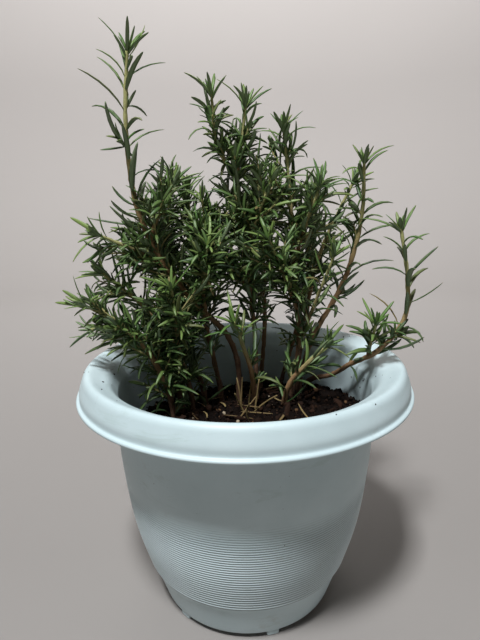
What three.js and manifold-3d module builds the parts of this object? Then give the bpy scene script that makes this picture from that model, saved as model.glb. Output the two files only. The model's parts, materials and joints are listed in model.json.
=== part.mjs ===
// A potted rosemary: a thin plastic planter with a rolled rim, potting mix, a root ball,
// woody stems and their leaves. Millimetres, +Z up. The origin is on the pot's axis in the
// plane its feet stand on, and the front of the plant faces -Y.

import * as THREE from 'three';
import { mergeVertices } from 'three/addons/utils/BufferGeometryUtils.js';
import Module from 'manifold-3d';

const wasm = await Module();
wasm.setup();

// Pot, as [radius, height] down each face of the wall.
const SIDES = 36;
const POT_OUTSIDE = [[45, 3], [51, 22], [52.4, 22.8], [57.4, 41], [60.2, 57], [62.6, 80], [63.5, 100]];
const RIM = [
  [64.2, 112], [66.4, 115.6], [70.2, 118.7], [74.2, 120.4], [76.6, 114.5], [78.5, 110.5],
  [80.5, 110.6], [80.8, 112], [78.8, 115], [77.9, 119.5], [76.6, 122.4], [74.4, 123.4], [70, 121.2],
  [65.4, 118.2], [62, 112],
];
const POT_INSIDE = [[61.3, 100], [60.4, 80], [58, 57], [55.2, 41], [50.2, 23.6], [48.9, 22], [42.8, 5.2]];
const BASE_UNDERSIDE = 3;
const BASE_TOP = 5.2;
const FOOT_COUNT = 6;
const FOOT_CIRCLE = 42.5;
const FOOT_SIZE = [3.6, 6, 3.6];
const FOOT_TURN = -75;
const DRAIN_COUNT = 6;
const DRAIN_CIRCLE = 27;
const DRAIN_RADIUS = 4;

// Clearance kept between neighbouring pieces, and the finest detail kept in a cut surface.
const GAP = 0.32;
const FINEST = 0.02;

// Potting mix: its top slopes up to the front and to the right.
const SOIL_LEVEL = 92;
const SOIL_EDGE_LOWEST = 84;
const SOIL_RISE = [0.08, -0.1];
const SOIL_RINGS = [0.82, 0.58, 0.3];

// Root ball, as [radius, height], about its own upright axis.
const ROOT_AXIS = [-1, 12];
const ROOT_PROFILE = [[16, 20], [31, 30], [38, 46], [36, 60], [24, 69]];
const ROOT_TOP = 72;
const ROOT_BOTTOM = 17;
const ROOT_SIDES = 16;

// Stems run from ROOT_DEPTH under their first point; leafy is the share of the route where
// the leaves begin. The young skin that carries the leaves is SKIN thick.
const ROOT_DEPTH = 17;
const CHANNEL_EXTRA = 5;
const FOOT_RADIUS = 1.35;
const TIP_RADIUS = 0.5;
const TWIG_RADIUS = 0.7;
const TWIG_BARE = 11;
const TWIG_LEAN = 0.2;
const SKIN = 0.5;
const STEMS = [
  { name: 'left_leader', leafy: 0.33,
    route: [[-3, 26, 91], [-6, 21, 125], [-28, 12, 153], [-47, 3, 189], [-51, -2, 226], [-48, -5, 257]] },
  { name: 'centre_leader', leafy: 0.36,
    route: [[7, 28, 93], [6, 26, 131], [1, 22, 181], [-3, 20, 210], [-15, 15, 234], [-13, 13, 244]] },
  { name: 'right_leader', leafy: 0.36,
    route: [[26, 22, 92], [30, 21, 126], [27, 19, 160], [24, 17, 202], [21, 14, 228]] },
  { name: 'right_arch', leafy: 0.34,
    route: [[31, 30, 93], [38, 30, 123], [53, 25, 155], [60, 18, 187], [59, 12, 212]] },
  { name: 'right_inner', leafy: 0.4,
    route: [[30, 39, 92], [35, 38, 128], [41, 33, 168], [55, 26, 203]] },
  { name: 'far_right_trailer', leafy: 0.4,
    route: [[36, 38, 94], [49, 22, 106], [58, 4, 120], [67, -7, 130], [77, -8, 147], [72, -10, 182]] },
  { name: 'back_right', leafy: 0.34,
    route: [[22, 46, 89], [32, 49, 126], [39, 49, 168], [43, 48, 205]] },
  { name: 'left_low', leafy: 0.3,
    route: [[-38, 4, 98], [-43, 1, 117], [-54, -7, 140], [-69, -16, 153]] },
  { name: 'left_low_outer', leafy: 0.3,
    route: [[-34, 11, 97], [-42, 15, 118], [-60, 20, 134], [-77, 21, 134]] },
  { name: 'left_mid', leafy: 0.32,
    route: [[-28, 12, 96], [-35, 10, 125], [-48, 5, 148], [-64, 0, 164]] },
  { name: 'left_inner', leafy: 0.34,
    route: [[-22, 22, 94], [-31, 27, 123], [-41, 31, 165], [-40, 32, 201]] },
  { name: 'centre_left', leafy: 0.34,
    route: [[-13, 26, 93], [-19, 34, 121], [-27, 40, 160], [-29, 41, 203]] },
  { name: 'centre_back', leafy: 0.34,
    route: [[10, 42, 92], [13, 49, 130], [12, 51, 170], [10, 49, 208]] },
  { name: 'front_sprig', leafy: 0.4,
    route: [[5, 13, 94], [4, 5, 112], [-3, -6, 139]] },
  { name: 'front_right_sprig', leafy: 0.4,
    route: [[21, 11, 93], [24, 6, 108], [38, -2, 127]] },
];
const TWIGS = [
  { parent: 'left_leader', at: 0.36, tip: [-17, -3, 176] },
  { parent: 'left_leader', at: 0.52, tip: [-62, -8, 184] },
  { parent: 'left_leader', at: 0.6, tip: [-33, -2, 204] },
  { parent: 'centre_leader', at: 0.42, tip: [-18, 10, 184] },
  { parent: 'centre_leader', at: 0.54, tip: [13, 10, 205] },
  { parent: 'centre_leader', at: 0.74, tip: [2, 16, 238] },
  { parent: 'right_leader', at: 0.4, tip: [14, 2, 178] },
  { parent: 'right_leader', at: 0.27, tip: [43, 3, 170] },
  { parent: 'right_leader', at: 0.58, tip: [36, 7, 202] },
  { parent: 'far_right_trailer', at: 0.5, tip: [62, -8, 138] },
  { parent: 'left_mid', at: 0.38, tip: [-33, -9, 157] },
  { parent: 'centre_left', at: 0.55, tip: [-17, 30, 190] },
];

// Leaves sit in opposite pairs, each pair a quarter turn on from the last.
const PAIR_STEP = 13.5;
const LEAF_LENGTH = [17, 25];
const LEAF_HALF_WIDTH = 1.2;
const LEAF_KEEL = 0.95;
const LEAF_OPENING = [38, 62];
const LEAF_TRIES = 9;

// The space over the mix at the front, kept free for watering: [low corner, high corner].
const WATERING_SPACE = [[-22, -50, 100], [28, -20, 122]];

const FINISHES = {
  pot: { color: 0xb9d0cf, roughness: 0.48, metalness: 0 },
  soil: { color: 0x2b1d15, roughness: 0.96, metalness: 0 },
  roots: { color: 0xa58a63, roughness: 0.9, metalness: 0 },
  stem: { color: 0x6b4a33, roughness: 0.82, metalness: 0 },
  twig: { color: 0x7d7148, roughness: 0.75, metalness: 0 },
  leaf: { color: 0x3c6140, roughness: 0.58, metalness: 0 },
};

// Each stem starts its own run of random numbers, so that one stem can change alone.
const random = THREE.MathUtils.seededRandom;
const FIRST_SEED = 310;

function between([low, high]) {
  return THREE.MathUtils.lerp(low, high, random());
}

// A manifold solid from a three.js geometry, with shared corners and no empty faces.
function solid(geometry) {
  const bare = new THREE.BufferGeometry();
  bare.setAttribute('position', geometry.getAttribute('position'));
  bare.setIndex(geometry.getIndex());
  const merged = mergeVertices(bare, 1e-4);
  const corners = merged.getIndex().array;
  const faces = [];
  for (let i = 0; i < corners.length; i += 3) {
    const [a, b, c] = [corners[i], corners[i + 1], corners[i + 2]];
    if (a !== b && b !== c && c !== a) {
      faces.push(a, b, c);
    }
  }
  const vertProperties = new Float32Array(merged.getAttribute('position').array);
  return new wasm.Manifold(new wasm.Mesh({ numProp: 3, vertProperties, triVerts: new Uint32Array(faces) }));
}

// A closed surface through rings of points. The rings turn counter-clockwise about the
// direction they follow one another in. A ring of one point closes an end by itself, and a
// wider end ring is closed by a flat fan.
function skin(rings) {
  const starts = [];
  let total = 0;
  for (const ring of rings) {
    starts.push(total);
    total += ring.length;
  }
  const sides = Math.max(...rings.map((ring) => ring.length));
  const corner = (i, j) => starts[i] + (j % rings[i].length);
  const index = [];
  for (let i = 0; i + 1 < rings.length; i++) {
    for (let j = 0; j < sides; j++) {
      index.push(corner(i, j), corner(i, j + 1), corner(i + 1, j + 1));
      index.push(corner(i, j), corner(i + 1, j + 1), corner(i + 1, j));
    }
  }
  const last = rings.length - 1;
  for (let j = 1; j + 1 < sides; j++) {
    index.push(corner(0, 0), corner(0, j + 1), corner(0, j));
    index.push(corner(last, 0), corner(last, j), corner(last, j + 1));
  }
  const geometry = new THREE.BufferGeometry();
  const numbers = rings.flat().flatMap((point) => point.toArray());
  geometry.setAttribute('position', new THREE.Float32BufferAttribute(numbers, 3));
  geometry.setIndex(index);
  return solid(geometry);
}

// One level ring about an upright axis; height may depend on where the point is.
function levelRing(radius, height, sides, [x, y] = [0, 0]) {
  const ring = [];
  for (let j = 0; j < sides; j++) {
    const angle = (2 * Math.PI * j) / sides;
    const point = new THREE.Vector3(x + radius * Math.cos(angle), y + radius * Math.sin(angle), 0);
    point.z = typeof height === 'function' ? height(point.x, point.y) : height;
    ring.push(point);
  }
  return ring;
}

function makePot() {
  const profile = [[0, BASE_UNDERSIDE], ...POT_OUTSIDE, ...RIM, ...POT_INSIDE, [0, BASE_TOP]];
  const wall = new THREE.LatheGeometry(profile.map((point) => new THREE.Vector2(...point)), SIDES);
  let pot = solid(wall.rotateX(Math.PI / 2));
  for (let i = 0; i < FOOT_COUNT; i++) {
    const foot = new THREE.BoxGeometry(...FOOT_SIZE);
    foot.translate(FOOT_CIRCLE, 0, FOOT_SIZE[2] / 2);
    foot.rotateZ(THREE.MathUtils.degToRad(FOOT_TURN + (360 * i) / FOOT_COUNT));
    pot = pot.add(solid(foot));
  }
  for (let i = 0; i < DRAIN_COUNT; i++) {
    const hole = new THREE.CylinderGeometry(DRAIN_RADIUS, DRAIN_RADIUS, 6, 8);
    hole.rotateX(Math.PI / 2);
    hole.translate(DRAIN_CIRCLE, 0, 4);
    hole.rotateZ((2 * Math.PI * (i + 0.5)) / DRAIN_COUNT);
    pot = pot.subtract(solid(hole));
  }
  return pot;
}

// The pot's inner radius at a height, along its straight facets.
function innerRadius(height) {
  const wall = POT_INSIDE;
  for (let i = 0; i + 1 < wall.length; i++) {
    const [[upperRadius, upper], [lowerRadius, lower]] = [wall[i], wall[i + 1]];
    if (height >= lower) {
      return THREE.MathUtils.mapLinear(height, lower, upper, lowerRadius, upperRadius);
    }
  }
  return wall[wall.length - 1][0];
}

function soilHeight(x, y) {
  const slope = SOIL_LEVEL + SOIL_RISE[0] * x + SOIL_RISE[1] * y;
  return slope + 0.9 * Math.sin(0.21 * x + 1) * Math.cos(0.17 * y) + 0.5 * Math.sin(0.43 * x - 0.37 * y);
}

function rootRings(swell) {
  const rings = ROOT_PROFILE.map(([radius, height], i) => {
    const ring = levelRing(radius, height, ROOT_SIDES);
    ring.forEach((point, j) => {
      const reach = radius * (1 + 0.06 * Math.sin(3 * j + 2 * i)) + swell;
      point.setX((point.x / radius) * reach + ROOT_AXIS[0]);
      point.setY((point.y / radius) * reach + ROOT_AXIS[1]);
    });
    return ring;
  });
  rings.unshift([new THREE.Vector3(...ROOT_AXIS, ROOT_BOTTOM - swell)]);
  rings.push([new THREE.Vector3(...ROOT_AXIS, ROOT_TOP + swell)]);
  return rings;
}

function makeSoil(channels) {
  const floor = BASE_TOP + GAP;
  const rings = [[new THREE.Vector3(0, 0, floor)], levelRing(innerRadius(floor) - GAP, floor, SIDES)];
  for (const [radius, height] of [...POT_INSIDE].reverse()) {
    if (height > floor && height < SOIL_EDGE_LOWEST) {
      rings.push(levelRing(radius - GAP, height, SIDES));
    }
  }
  const edge = levelRing(innerRadius(SOIL_EDGE_LOWEST) - GAP, soilHeight, SIDES);
  rings.push(edge);
  for (const share of SOIL_RINGS) {
    rings.push(levelRing(edge[0].x * share, soilHeight, SIDES));
  }
  rings.push([new THREE.Vector3(0, 0, soilHeight(0, 0))]);
  let soil = skin(rings).subtract(skin(rootRings(GAP)));
  for (const channel of channels) {
    soil = soil.subtract(channel);
  }
  return soil;
}

// Rings of a tapering rod along part of a route, turned as little as possible on the way.
function rod(route, [from, to], steps, sides, radiusAt) {
  const rings = [];
  let across = new THREE.Vector3(0, -1, 0);
  for (let i = 0; i <= steps; i++) {
    const share = THREE.MathUtils.lerp(from, to, i / steps);
    const ahead = route.getTangentAt(share);
    const centre = route.getPointAt(share);
    across = across.clone().addScaledVector(ahead, -across.dot(ahead)).normalize();
    const other = new THREE.Vector3().crossVectors(ahead, across);
    const ring = [];
    for (let j = 0; j < sides; j++) {
      const angle = (2 * Math.PI * j) / sides;
      const point = centre.clone();
      point.addScaledVector(across, radiusAt(share) * Math.cos(angle));
      point.addScaledVector(other, radiusAt(share) * Math.sin(angle));
      ring.push(point);
    }
    rings.push(ring);
  }
  return rings;
}

// The same rod made longer at both ends, for cutting clearance.
function lengthened(rings, start, end) {
  const grown = rings.map((ring) => ring.map((point) => point.clone()));
  const push = (ring, next, distance) => {
    const way = ring[0].clone().sub(next[0]).normalize();
    ring.forEach((point) => point.addScaledVector(way, distance));
  };
  push(grown[0], rings[1], start);
  push(grown[grown.length - 1], rings[rings.length - 2], end);
  return grown;
}

// A leaf: a flat upper side, a keel below, widest before the middle and drawn to a point.
// The path is bent: it sets off along one direction and ends along another.
function leafBlade(base, setOff, upper, length, bend, swell) {
  const side = new THREE.Vector3().crossVectors(upper, setOff).normalize();
  const middle = base.clone().addScaledVector(setOff, 0.45 * length);
  const tip = base.clone().addScaledVector(setOff, 0.97 * length).addScaledVector(upper, bend * length);
  const way = tip.clone().sub(middle).normalize();
  tip.addScaledVector(way, 2 * swell);
  const section = (centre, halfWidth, keel) => [
    centre.clone().addScaledVector(side, halfWidth + swell).addScaledVector(upper, swell),
    centre.clone().addScaledVector(side, -halfWidth - swell).addScaledVector(upper, swell),
    centre.clone().addScaledVector(upper, -keel - swell),
  ];
  const rings = [section(base, 0.6, 0.6), section(middle, LEAF_HALF_WIDTH, LEAF_KEEL), [tip]];
  return skin(rings);
}

// Everything placed so far, so that a new leaf can stay clear of it.
const placed = [];

function boxOf(shape) {
  const { min, max } = shape.boundingBox();
  return new THREE.Box3(new THREE.Vector3(...min), new THREE.Vector3(...max));
}

function place(owner, shape) {
  placed.push({ owner, shape, box: boxOf(shape) });
}

function isFree(owner, shape) {
  const box = boxOf(shape);
  return placed.every((other) => {
    const apart = other.owner === owner || !other.box.intersectsBox(box);
    return apart || other.shape.intersect(shape).isEmpty();
  });
}

// Grows the leaves of one stem: opposite pairs up its leafy part and a tuft at its tip.
function growLeaves(stem) {
  const { route, leafy, name } = stem;
  const length = route.getLength();
  const reach = (1 - leafy) * length - 3;
  const pairs = Math.max(2, Math.round(reach / PAIR_STEP));
  const leaves = [];
  random(stem.seed);
  let turn = 360 * random();
  for (let pair = 0; pair <= pairs; pair++) {
    const youth = pair / pairs;
    for (const half of [0, 1]) {
      const share = leafy + (1.5 + 0.8 * half + reach * youth) / length;
      const leaf = growLeaf(name, route, share, turn + 180 * half, youth);
      if (leaf) {
        leaves.push(leaf);
      }
    }
    turn += 90 + 24 * (random() - 0.5);
  }
  return leaves;
}

// One leaf, tried at a few lengths and directions until it is clear of its neighbours.
function growLeaf(owner, route, share, turn, youth) {
  const base = route.getPointAt(share);
  const ahead = route.getTangentAt(share);
  const start = new THREE.Vector3(0, -1, 0);
  start.addScaledVector(ahead, -start.dot(ahead)).normalize();
  for (let attempt = 0; attempt < LEAF_TRIES; attempt++) {
    const swing = turn + 10 * attempt * (random() - 0.5);
    const outward = start.clone().applyAxisAngle(ahead, THREE.MathUtils.degToRad(swing));
    const opening = THREE.MathUtils.degToRad(between(LEAF_OPENING) * (1 - 0.45 * youth ** 3));
    const setOff = ahead.clone().multiplyScalar(Math.cos(opening));
    setOff.addScaledVector(outward, Math.sin(opening));
    const upper = new THREE.Vector3().crossVectors(setOff, ahead).cross(setOff).normalize();
    const length = between(LEAF_LENGTH) * (1 - 0.3 * youth ** 2) * 0.96 ** attempt;
    const bend = between([-0.16, 0.1]);
    if (isFree(owner, leafBlade(base, setOff, upper, length, bend, GAP))) {
      const leaf = leafBlade(base, setOff, upper, length, bend, 0);
      place(owner, leaf);
      return leaf;
    }
  }
  return null;
}

// The routes, radii and bare solids of the main stems and of the twigs that leave them.
function layStems() {
  const stems = new Map();
  for (const { name, leafy, route } of STEMS) {
    const [x, y, z] = route[0];
    const points = [[x, y, z - ROOT_DEPTH], ...route].map((point) => new THREE.Vector3(...point));
    const curve = new THREE.CatmullRomCurve3(points, false, 'centripetal');
    const steps = Math.max(5, Math.round(curve.getLength() / 19));
    const radiusAt = (share) => THREE.MathUtils.lerp(FOOT_RADIUS, TIP_RADIUS, share);
    stems.set(name, { name, leafy, route: curve, steps, radiusAt, finish: 'stem', twigs: [] });
  }
  for (const { parent, at, tip } of TWIGS) {
    const carrier = stems.get(parent);
    const start = carrier.route.getPointAt(at);
    const end = new THREE.Vector3(...tip);
    const away = carrier.route.getTangentAt(at).multiplyScalar(TWIG_LEAN * start.distanceTo(end));
    const curve = new THREE.QuadraticBezierCurve3(start, start.clone().add(away), end);
    const name = `${parent}_twig_${carrier.twigs.length + 1}`;
    const radiusAt = (share) => THREE.MathUtils.lerp(TWIG_RADIUS, 0.4, share);
    const leafy = TWIG_BARE / curve.getLength();
    const twig = { name, leafy, route: curve, steps: 4, radiusAt, finish: 'twig', twigs: [], carrier };
    carrier.twigs.push(twig);
    stems.set(name, twig);
  }
  return [...stems.values()].map((stem, i) => ({ ...stem, seed: FIRST_SEED + 7 * i }));
}

// The bare wood of a stem, or with a clearance the cutter for the room it needs. The cutter
// can be made longer at the foot.
function makeStem(stem, clearance, foot = 0) {
  const widened = (share) => stem.radiusAt(share) + clearance;
  const rings = rod(stem.route, [0, 1], stem.steps, 5, widened);
  const shape = skin(lengthened(rings, foot, clearance));
  return stem.carrier ? shape.subtract(makeStem(stem.carrier, GAP - clearance)) : shape;
}

// The green skin round the leafy part of a stem, solid until the stem is cut out of it.
function makeYoungSkin(stem, clearance) {
  const widened = (share) => stem.radiusAt(share) + GAP + SKIN + clearance;
  const steps = Math.max(3, Math.round(stem.steps * (1 - stem.leafy)));
  const rings = rod(stem.route, [stem.leafy, 1], steps, 5, widened);
  return skin(lengthened(rings, clearance, 1 + clearance));
}

// The largest body of a shape, without any leaf that a twig's channel has cut loose and
// without faces narrower than FINEST.
function mainBody(shape) {
  const bodies = shape.simplify(FINEST).decompose();
  return bodies.reduce((most, next) => (next.volume() > most.volume() ? next : most));
}

function addPiece(plant, name, shape, finish) {
  const mesh = shape.getMesh();
  const geometry = new THREE.BufferGeometry();
  geometry.setAttribute('position', new THREE.Float32BufferAttribute(mesh.vertProperties, 3));
  geometry.setIndex(new THREE.Uint32BufferAttribute(mesh.triVerts, 1));
  geometry.computeVertexNormals();
  const piece = new THREE.Mesh(geometry, new THREE.MeshStandardMaterial(FINISHES[finish]));
  piece.name = name;
  plant.add(piece);
}

const plant = new THREE.Group();
plant.name = 'potted_rosemary';
addPiece(plant, 'pot', makePot(), 'pot');

const stems = layStems();
const mains = stems.filter((stem) => !stem.carrier);
const channels = mains.map((stem) => makeStem(stem, GAP, CHANNEL_EXTRA));
addPiece(plant, 'soil', makeSoil(channels), 'soil');
addPiece(plant, 'root_ball', skin(rootRings(0)), 'roots');

const watering = new THREE.Box3(...WATERING_SPACE.map((corner) => new THREE.Vector3(...corner)));
const size = watering.getSize(new THREE.Vector3());
const centre = watering.getCenter(new THREE.Vector3());
place('watering', solid(new THREE.BoxGeometry(...size.toArray()).translate(...centre.toArray())));
place('pot', makePot());
for (const stem of stems) {
  stem.bare = makeStem(stem, 0);
  stem.skin = makeYoungSkin(stem, 0);
  place(stem.name, stem.bare);
  place(stem.name, stem.skin);
}
for (const stem of stems) {
  let leaves = stem.skin;
  for (const leaf of growLeaves(stem)) {
    leaves = leaves.add(leaf);
  }
  leaves = leaves.subtract(makeStem(stem, GAP));
  for (const twig of stem.twigs) {
    leaves = leaves.subtract(makeStem(twig, GAP)).subtract(makeYoungSkin(twig, GAP));
  }
  addPiece(plant, stem.name, stem.bare, stem.finish);
  addPiece(plant, `${stem.name}_leaves`, mainBody(leaves), 'leaf');
}

export default plant;
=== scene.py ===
import json
import math

import bmesh
import bpy
import numpy as np
from mathutils import Matrix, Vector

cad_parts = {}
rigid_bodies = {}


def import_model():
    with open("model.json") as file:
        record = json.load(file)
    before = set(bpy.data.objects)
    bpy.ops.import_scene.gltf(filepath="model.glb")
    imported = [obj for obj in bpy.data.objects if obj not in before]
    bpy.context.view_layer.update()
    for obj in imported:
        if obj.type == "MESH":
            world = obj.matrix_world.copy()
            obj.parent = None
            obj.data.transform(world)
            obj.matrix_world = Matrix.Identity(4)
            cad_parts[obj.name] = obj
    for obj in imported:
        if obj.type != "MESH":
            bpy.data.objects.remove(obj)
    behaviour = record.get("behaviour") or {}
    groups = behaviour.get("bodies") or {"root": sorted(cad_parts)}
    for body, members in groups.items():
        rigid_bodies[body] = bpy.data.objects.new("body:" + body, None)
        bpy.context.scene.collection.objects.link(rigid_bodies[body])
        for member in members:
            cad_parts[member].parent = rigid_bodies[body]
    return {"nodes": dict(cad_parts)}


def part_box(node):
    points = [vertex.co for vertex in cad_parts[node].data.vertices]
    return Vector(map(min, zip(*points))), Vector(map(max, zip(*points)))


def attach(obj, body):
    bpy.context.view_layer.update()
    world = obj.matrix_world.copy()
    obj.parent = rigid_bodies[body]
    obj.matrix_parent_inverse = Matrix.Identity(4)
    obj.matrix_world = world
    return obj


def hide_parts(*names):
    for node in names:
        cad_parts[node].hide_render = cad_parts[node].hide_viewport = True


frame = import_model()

MM = 0.001
SEED = 71
EYE = np.array([-1.75, -229.2, 197.0]) * MM     # where the camera stands
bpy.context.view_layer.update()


# ---------------------------------------------------------------------------------- materials

class Wire:
    """A shader socket that can stand in sums: a + b, a * b, 0.4 + a and 0.2 * a add Math nodes."""

    def __init__(self, paint, socket):
        self.paint = paint
        self.socket = socket

    def sum(self, operation, first, second):
        return self.paint.node("ShaderNodeMath", {"operation": operation}, {0: first, 1: second})

    def __add__(self, other):
        return self.sum("ADD", self, other)

    def __radd__(self, other):
        return self.sum("ADD", other, self)

    def __mul__(self, other):
        return self.sum("MULTIPLY", self, other)

    def __rmul__(self, other):
        return self.sum("MULTIPLY", other, self)


class Paint:
    """One material: a Principled shader, its uniform settings, and the nodes that feed it."""

    def __init__(self, name, **uniform):
        self.material = bpy.data.materials.new(name)
        self.material.use_nodes = True
        self.tree = self.material.node_tree
        self.shader = self.tree.nodes["Principled BSDF"]
        for socket, value in uniform.items():
            self.shader.inputs[socket.replace("_", " ")].default_value = value

    def node(self, kind, settings=None, inputs=None, output=0):
        """A node of a type, with its settings, then its sockets' values or links; gives one output."""
        made = self.tree.nodes.new(kind)
        for key, value in (settings or {}).items():
            if key == "stops":
                self.set_stops(made.color_ramp, value)
            else:
                setattr(made, key, value)
        for key, value in (inputs or {}).items():
            if isinstance(value, Wire):
                self.tree.links.new(value.socket, made.inputs[key])
            else:
                made.inputs[key].default_value = value
        return Wire(self, made.outputs[output])

    @staticmethod
    def set_stops(ramp, stops):
        while len(ramp.elements) < len(stops):
            ramp.elements.new(1.0)
        for element, (position, level) in zip(ramp.elements, stops):
            element.position = position
            element.color = (level, level, level, 1.0)

    def place(self):
        """Object coordinates, the fourth output of Texture Coordinate."""
        return self.node("ShaderNodeTexCoord", None, None, 3)

    def fact(self, name):
        """A number kept on the mesh's points, as a grey."""
        return self.node("ShaderNodeAttribute", {"attribute_name": name}, None, 2)

    def noise(self, scale, detail=3.0, roughness=0.55, distortion=0.0, vector=None):
        inputs = {"Vector": vector or self.place(), "Scale": scale, "Detail": detail,
                  "Roughness": roughness, "Distortion": distortion}
        return self.node("ShaderNodeTexNoise", {"noise_dimensions": "3D"}, inputs)

    def cells(self, scale):
        inputs = {"Vector": self.place(), "Scale": scale}
        return self.node("ShaderNodeTexVoronoi", {"feature": "F1"}, inputs)

    def ramp(self, value, *stops):
        """Greys between (position, level) stops."""
        return self.node("ShaderNodeValToRGB", {"stops": stops}, {0: value})

    def mix(self, share, first, second):
        """The first colour at share 0, the second at share 1."""
        colours = {0: share, 6: first, 7: second}
        return self.node("ShaderNodeMix", {"data_type": "RGBA"}, colours, 2)

    def stretched(self, x, y, z):
        return self.node("ShaderNodeMapping", None, {0: self.place(), 3: (x, y, z)})

    def bump(self, height, distance, strength=1.0):
        inputs = {"Height": height, "Distance": distance, "Strength": strength}
        return self.node("ShaderNodeBump", None, inputs)

    def feed(self, **wires):
        for socket, wire in wires.items():
            self.tree.links.new(wire.socket, self.shader.inputs[socket.replace("_", " ")])
        return self.material


def colour(red, green, blue):
    """An sRGB colour, 0 to 255, as linear RGBA."""
    levels = np.array([red, green, blue]) / 255.0
    linear = np.where(levels <= 0.04045, levels / 12.92, ((levels + 0.055) / 1.055) ** 2.4)
    return (*[float(level) for level in linear], 1.0)


def mint_plastic():
    """Pale moulded plastic: faint mottling, painted shade in the grooves and a painted highlight on
    the crests of the ribbed wall, drawn-out scuffs, and brown specks and smears in patches."""
    paint = Paint("mint_plastic", Roughness=0.5, IOR=1.48)
    mottle = paint.noise(38.0, 4.0, 0.6)
    mottled = paint.ramp(mottle, (0.3, 0.0), (0.7, 1.0))
    base = paint.mix(mottled, colour(190, 209, 213), colour(200, 218, 222))
    groove = paint.fact("groove")
    # painted highlight: the rib crests, where the groove fact is below 0, turn near-white
    base = paint.mix(paint.ramp(groove * -1.0, (0.3, 0.0), (1.0, 0.8)), base, colour(228, 240, 243))
    # painted shade: the rib grooves, where the groove fact is above 0, turn dark grey-green
    base = paint.mix(paint.ramp(groove, (0.0, 0.0), (0.75, 0.9)), base, colour(62, 74, 78))
    scuff = paint.noise(26.0, 6.0, 0.7, 1.2, paint.stretched(1.0, 1.0, 4.5))
    scuffed = paint.ramp(scuff, (0.585, 0.0), (0.66, 0.35))
    base = paint.mix(scuffed, base, colour(172, 192, 190))
    grain = paint.noise(1900.0, 2.0)
    specks = paint.ramp(paint.cells(190.0), (0.028, 1.0), (0.05, 0.0))
    patches = paint.ramp(paint.noise(21.0, 2.0), (0.5, 0.0), (0.62, 1.0))
    base = paint.mix(specks * patches * 0.85, base, colour(70, 58, 44))
    smear = paint.ramp(paint.noise(60.0, 5.0, 0.65), (0.62, 0.0), (0.76, 0.4))
    base = paint.mix(smear * patches, base, colour(150, 152, 138))
    rough = 0.38 + 0.16 * paint.noise(55.0, 4.0) + 0.12 * scuffed
    return paint.feed(Base_Color=base, Roughness=rough, Normal=paint.bump(grain, 0.00003, 0.5))


def damp_mix():
    """Potting mix: near-black peat with brown bark tones and a fine crumb."""
    paint = Paint("damp_mix", Roughness=0.95, Specular_IOR_Level=0.12)
    crumbs = paint.cells(620.0)
    tone = paint.noise(150.0, 6.0, 0.7)
    base = paint.mix(paint.ramp(tone, (0.35, 0.0), (0.68, 1.0)), colour(7, 4, 3), colour(24, 14, 9))
    flecks = paint.ramp(paint.noise(520.0, 2.0, 0.5), (0.66, 0.0), (0.72, 1.0))
    base = paint.mix(flecks * 0.5, base, colour(78, 52, 34))
    height = crumbs * 0.6 + paint.noise(1100.0, 5.0, 0.7)
    rough = 0.78 + 0.2 * paint.noise(300.0)
    return paint.feed(Base_Color=base, Roughness=rough, Normal=paint.bump(height, 0.0006))


def crumb_bark():
    """Loose bits: each has its own tone, from peat through bark to pale grit."""
    paint = Paint("crumb_bark", Roughness=0.9, Specular_IOR_Level=0.15)
    tint = paint.fact("tint")
    base = paint.mix(paint.ramp(tint, (0.0, 0.0), (0.75, 1.0)), colour(11, 7, 5), colour(48, 29, 18))
    base = paint.mix(paint.ramp(tint, (0.88, 0.0), (0.95, 0.9)), base, colour(118, 88, 60))
    base = paint.mix(paint.ramp(tint, (0.985, 0.0), (0.994, 1.0)), base, colour(186, 170, 146))
    grain = paint.noise(1500.0, 5.0, 0.7)
    base = paint.mix(grain * 0.5, base, colour(24, 16, 12))
    return paint.feed(Base_Color=base, Roughness=0.75 + 0.2 * grain, Normal=paint.bump(grain, 0.0003))


def root_fibre():
    """Packed pale roots: streaky tan fibres over brown."""
    paint = Paint("root_fibre", Roughness=0.9)
    fibre = paint.noise(420.0, 5.0, 0.7, 2.0, paint.stretched(1.0, 1.0, 0.25))
    pale = paint.ramp(fibre, (0.4, 0.0), (0.6, 1.0))
    base = paint.mix(pale, colour(70, 50, 34), colour(178, 152, 112))
    return paint.feed(Base_Color=base, Roughness=0.8 + 0.15 * fibre, Normal=paint.bump(fibre, 0.0006))


def rosemary_bark():
    """Bark by its place on the stem: grey-brown and flaking low down, red-brown, then olive."""
    paint = Paint("rosemary_bark", Roughness=0.8)
    share = paint.fact("share")
    streak = paint.noise(1.0, 5.0, 0.65, 0.4, paint.node(
        "ShaderNodeCombineXYZ", None, {0: paint.fact("turn") * 5.0, 1: paint.fact("length") * 130.0}))
    flakes = paint.noise(900.0, 5.0, 0.7)
    old = paint.mix(streak, colour(58, 40, 30), colour(116, 84, 62))
    old = paint.mix(paint.ramp(flakes, (0.55, 0.0), (0.7, 0.7)), old, colour(140, 118, 94))
    red = paint.mix(streak, colour(112, 80, 54), colour(186, 150, 106))
    green = paint.mix(streak, colour(140, 140, 84), colour(190, 188, 130))
    base = paint.mix(paint.ramp(share, (0.18, 0.0), (0.5, 1.0)), old, red)
    base = paint.mix(paint.ramp(share, (0.62, 0.0), (0.88, 1.0)), base, green)
    height = streak + flakes * 0.7
    return paint.feed(Base_Color=base, Roughness=0.62 + 0.3 * flakes, Normal=paint.bump(height, 0.0004))


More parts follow.
